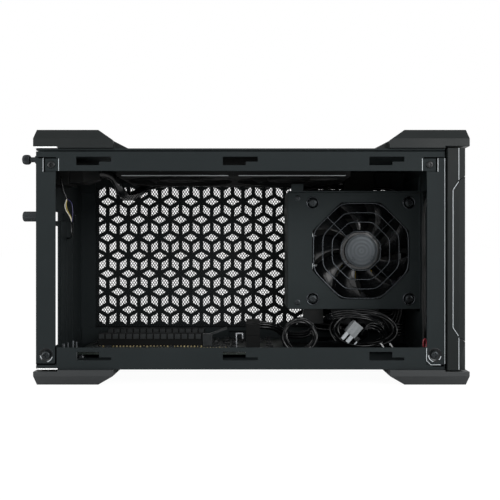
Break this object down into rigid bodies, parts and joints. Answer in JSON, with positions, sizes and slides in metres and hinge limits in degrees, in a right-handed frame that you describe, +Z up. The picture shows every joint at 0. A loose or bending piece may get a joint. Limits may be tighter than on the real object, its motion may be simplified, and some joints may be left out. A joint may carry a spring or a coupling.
{
  "type": "mini pc case",
  "caption": "Small upright computer case with handles, an open near side, a rhombus-cut far side panel, top fans, a power supply and a board with card slots.",
  "frame": {"origin": "middle of the whole case's footprint, on the floor", "axes": "+X from the rear wall to the front bezel, -Y out of the open near side, +Z up"},
  "size_m": [0.34, 0.15, 0.192],
  "materials": {
    "black_sheet": "fine-texture black powder coat",
    "black_moulding": "satin moulded black plastic",
    "pad_rubber": "soft black rubber",
    "black_zinc": "black zinc",
    "filter_mesh": "woven dark nylon mesh",
    "fan_plastic": "matt black glass-filled nylon",
    "cap_steel": "satin black disc",
    "connector": "black moulded connector plastic",
    "board_laminate": "black solder mask on glass laminate",
    "plated_steel": "nickel-plated steel",
    "jack_plastic": "black plastic",
    "heatsink_metal": "extruded aluminium",
    "tape": "yellow polyester tape",
    "can_sleeve": "shrink sleeve",
    "lead_jacket": "black flexible jacket"
  },
  "bodies": {
    "case": {"bottom_tray": "black_sheet", "top_tray": "black_sheet", "rear_wall": "black_sheet", "front_wall": "black_sheet", "bottom_cover": "black_sheet", "top_cover": "black_sheet", "slot_covers": "black_sheet", "slot_retainer": "black_sheet", "psu_shell": "black_sheet", "psu_cover": "black_sheet", "psu_bracket": "black_sheet", "front_bezel": "black_moulding", "front_insert": "black_moulding", "rear_handle": "black_moulding", "front_handle": "black_moulding", "rear_foot": "black_moulding", "front_foot": "black_moulding", "foot_pads": "pad_rubber", "rear_thumbscrews": "black_zinc", "psu_grille": "black_zinc", "rear_fan_frame": "fan_plastic", "front_fan_frame": "fan_plastic", "psu_fan_frame": "fan_plastic", "grille_cap": "cap_steel", "near_card_slot": "connector", "far_card_slot": "connector", "board_power_socket": "connector", "board_power_plug": "connector", "psu_inlet": "connector", "rocker_frame": "connector", "psu_sockets": "connector", "psu_lead_plugs": "connector", "mains_inlet": "connector", "mains_boot": "connector", "mains_plug": "connector", "graphics_plug": "connector", "baseboard": "board_laminate", "io_board": "board_laminate", "psu_board": "board_laminate", "usb_ports": "plated_steel", "board_standoffs": "plated_steel", "audio_jack": "jack_plastic", "psu_heatsinks": "heatsink_metal", "psu_transformer": "tape", "psu_capacitors": "can_sleeve", "mains_lead": "lead_jacket", "board_lead": "lead_jacket", "drive_lead": "lead_jacket", "graphics_lead": "lead_jacket", "drive_coil": "lead_jacket"},
    "rear_fan": {"rear_fan_rotor": "fan_plastic"},
    "front_fan": {"front_fan_rotor": "fan_plastic"},
    "psu_fan": {"psu_fan_rotor": "fan_plastic"},
    "power_button": {"power_button": "black_moulding"},
    "psu_rocker": {"psu_rocker": "connector"},
    "side_panel": {"side_panel": "black_sheet", "side_filter": "filter_mesh", "panel_thumbscrews": "black_zinc"}
  },
  "joints": [
    {"name": "rear_fan_spin", "type": "hinge", "parent": "case", "child": "rear_fan", "pos_m": [-0.053, 0, 0.167], "axis": [0, 0, 1], "continuous": true},
    {"name": "front_fan_spin", "type": "hinge", "parent": "case", "child": "front_fan", "pos_m": [0.039, 0, 0.167], "axis": [0, 0, 1], "continuous": true},
    {"name": "psu_fan_spin", "type": "hinge", "parent": "case", "child": "psu_fan", "pos_m": [0.101, 0.015, 0.101], "axis": [0, 1, 0], "continuous": true},
    {"name": "power_button_press", "type": "slide", "parent": "case", "child": "power_button", "axis": [-1, 0, 0], "range_m": [0, 0.001], "stiffness_N_per_m": 400},
    {"name": "psu_rocker_tilt", "type": "hinge", "parent": "case", "child": "psu_rocker", "pos_m": [0.1355, 0.055, 0.151], "axis": [0, -1, 0], "range_deg": [0, 18]},
    {"name": "side_panel_slide", "type": "slide", "parent": "case", "child": "side_panel", "axis": [-1, 0, 0], "range_m": [0, 0.009]}
  ]
}
